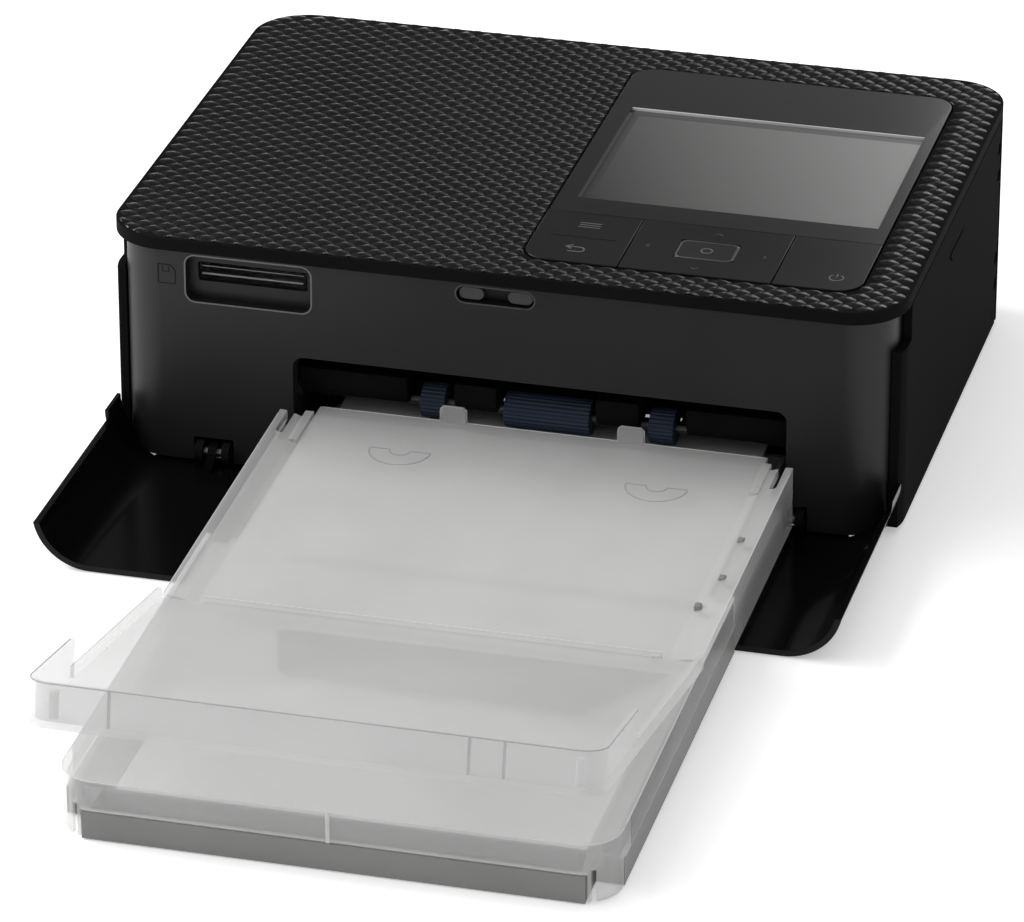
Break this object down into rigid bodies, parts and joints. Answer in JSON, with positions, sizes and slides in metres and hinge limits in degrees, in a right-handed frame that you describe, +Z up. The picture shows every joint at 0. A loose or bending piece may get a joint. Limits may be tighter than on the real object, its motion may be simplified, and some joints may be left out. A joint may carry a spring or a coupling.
{
  "type": "compact photo printer",
  "caption": "Compact desktop photo printer with a tilted-open front cover, a loaded paper cassette and a flip-up print flap",
  "frame": {"origin": "centre of the whole object's footprint, on the surface it stands on", "axes": "+Z up; -Y is the front, where the paper cassette sticks out; +X is to the right seen from the front"},
  "size_m": [0.1822, 0.3148, 0.0576],
  "materials": {
    "case_black": "satin, fine moulded grain",
    "gloss_black": "polished",
    "screen_glass": "polished window",
    "steel": "sheet steel",
    "navy_rubber": "fine ribs",
    "rubber": "matte",
    "clear_smoke": "translucent smoke grey, polished",
    "cassette_grey": "fine grain",
    "board_green": "solder mask",
    "gear_white": "acetal",
    "alloy": "bare",
    "ceramic": "glazed",
    "ribbon": "coated film",
    "ribbon_case": "fine grain",
    "flat_cable": "laminated film"
  },
  "bodies": {
    "root": {"bottom_case": "case_black", "front_panel": "case_black", "left_side_panel": "case_black", "rear_panel": "case_black", "top_cover": "case_black", "ink_door_pins": "steel", "front_cover_pins": "steel", "rubber_feet": "rubber", "case_screws": "steel", "cover_catch": "cassette_grey", "display_window": "gloss_black", "lcd_module": "screen_glass", "display_cable": "flat_cable", "key_mat": "rubber", "key_board": "board_green", "card_reader": "steel", "main_board": "board_green", "dc_inlet": "case_black", "usb_port": "steel", "left_frame_plate": "steel", "right_frame_plate": "steel", "gear_plate": "steel", "frame_tie_bars": "steel", "shaft_bearings": "case_black", "feed_motor": "alloy", "ribbon_motor": "alloy", "paper_guide": "case_black", "ink_cassette": "ribbon_case", "ribbon_film": "ribbon"},
    "front_cover": {"front_cover": "gloss_black"},
    "ink_door": {"ink_door": "case_black"},
    "menu_key": {"menu_key": "gloss_black"},
    "navigation_key": {"navigation_key": "gloss_black"},
    "ok_key": {"ok_key": "gloss_black"},
    "power_key": {"power_key": "gloss_black"},
    "feed_rollers": {"feed_shaft": "steel", "feed_roller_middle": "navy_rubber", "feed_rollers_side": "navy_rubber", "feed_gear": "gear_white"},
    "idler": {"idler_gear": "gear_white"},
    "capstan": {"capstan_roller": "steel", "capstan_gear": "gear_white"},
    "feed_pinion": {"feed_pinion": "gear_white"},
    "pinch_roller": {"pinch_roller": "rubber"},
    "platen": {"platen_roller": "rubber"},
    "takeup": {"ribbon_gear": "gear_white", "takeup_spool": "gear_white"},
    "ribbon_pinion": {"ribbon_pinion": "gear_white"},
    "supply": {"supply_spool": "gear_white", "ribbon_roll": "ribbon"},
    "print_head": {"thermal_head": "ceramic", "heat_sink": "alloy", "head_arm": "steel"},
    "cassette": {"cassette_base": "cassette_grey", "cassette_lid": "clear_smoke", "output_deck": "clear_smoke", "lift_spring": "steel"},
    "output_flap": {"output_flap": "clear_smoke"},
    "lift_plate": {"lift_plate": "cassette_grey"}
  },
  "joints": [
    {"name": "front_cover_hinge", "type": "hinge", "parent": "root", "child": "front_cover", "pos_m": [0, 0.02666, 0.004], "axis": [-1, 0, 0], "range_deg": [0, 0.2]},
    {"name": "cassette_slide", "type": "slide", "parent": "root", "child": "cassette", "axis": [0, -1, 0], "range_m": [0, 0.06]},
    {"name": "flap_hinge", "type": "hinge", "parent": "cassette", "child": "output_flap", "pos_m": [0.0097, -0.06714, 0.01631], "axis": [-1, 0, 0], "range_deg": [-10, 60]},
    {"name": "lift_plate_hinge", "type": "hinge", "parent": "cassette", "child": "lift_plate", "pos_m": [0.0097, -0.07691, 0.00427], "axis": [1, 0, 0], "range_deg": [-4, 0], "stiffness_Nm_per_rad": 0.5, "springref_deg": 2.86, "deforming": ["lift_spring"]},
    {"name": "ink_door_hinge", "type": "hinge", "parent": "root", "child": "ink_door", "pos_m": [0.0895, 0.14225, 0.029], "axis": [0, 0, 1], "range_deg": [0, 100]},
    {"name": "menu_key_rock", "type": "hinge", "parent": "root", "child": "menu_key", "pos_m": [0.0142, 0.0473, 0.0561], "axis": [1, 0, 0], "range_deg": [-2, 2], "stiffness_Nm_per_rad": 0.15},
    {"name": "navigation_key_rock", "type": "hinge", "parent": "root", "child": "navigation_key", "pos_m": [0.04275, 0.0473, 0.0561], "axis": [1, 0, 0], "range_deg": [-2, 2], "stiffness_Nm_per_rad": 0.15},
    {"name": "ok_key_press", "type": "slide", "parent": "root", "child": "ok_key", "axis": [0, 0, -1], "range_m": [0, 0.0005], "stiffness_N_per_m": 800},
    {"name": "power_key_press", "type": "slide", "parent": "root", "child": "power_key", "axis": [0, 0, -1], "range_m": [0, 0.0005], "stiffness_N_per_m": 800},
    {"name": "idler_turn", "type": "hinge", "parent": "root", "child": "idler", "pos_m": [-0.0522, 0.05807, 0.02334], "axis": [1, 0, 0], "continuous": true},
    {"name": "feed_turn", "type": "hinge", "parent": "root", "child": "feed_rollers", "pos_m": [0.0097, 0.03615, 0.0187], "axis": [1, 0, 0], "continuous": true},
    {"name": "capstan_turn", "type": "hinge", "parent": "root", "child": "capstan", "pos_m": [0.0097, 0.07666, 0.014], "axis": [1, 0, 0], "continuous": true},
    {"name": "feed_pinion_turn", "type": "hinge", "parent": "root", "child": "feed_pinion", "pos_m": [-0.054, 0.06847, 0.04135], "axis": [1, 0, 0], "continuous": true},
    {"name": "pinch_turn", "type": "hinge", "parent": "root", "child": "pinch_roller", "pos_m": [0.0097, 0.07666, 0.02035], "axis": [1, 0, 0], "continuous": true},
    {"name": "platen_turn", "type": "hinge", "parent": "root", "child": "platen", "pos_m": [0.0097, 0.10065, 0.0115], "axis": [1, 0, 0], "continuous": true},
    {"name": "takeup_turn", "type": "hinge", "parent": "root", "child": "takeup", "pos_m": [0.0097, 0.08066, 0.035], "axis": [1, 0, 0], "continuous": true},
    {"name": "ribbon_pinion_turn", "type": "hinge", "parent": "root", "child": "ribbon_pinion", "pos_m": [-0.057, 0.09484, 0.0375], "axis": [1, 0, 0], "continuous": true},
    {"name": "supply_turn", "type": "hinge", "parent": "root", "child": "supply", "pos_m": [0.0097, 0.11865, 0.035], "axis": [1, 0, 0], "continuous": true},
    {"name": "head_lift", "type": "hinge", "parent": "root", "child": "print_head", "pos_m": [0.0097, 0.13665, 0.0445], "axis": [-1, 0, 0], "range_deg": [0, 2.5]}
  ],
  "couplings": [
    {"joint": "feed_turn", "follows": "idler_turn", "ratio": -2.5},
    {"joint": "capstan_turn", "follows": "idler_turn", "ratio": -3.3333},
    {"joint": "feed_pinion_turn", "follows": "idler_turn", "ratio": -3.3333},
    {"joint": "pinch_turn", "follows": "idler_turn", "ratio": 3.3333},
    {"joint": "ribbon_pinion_turn", "follows": "takeup_turn", "ratio": -2},
    {"joint": "supply_turn", "follows": "takeup_turn", "ratio": 0.64706}
  ]
}
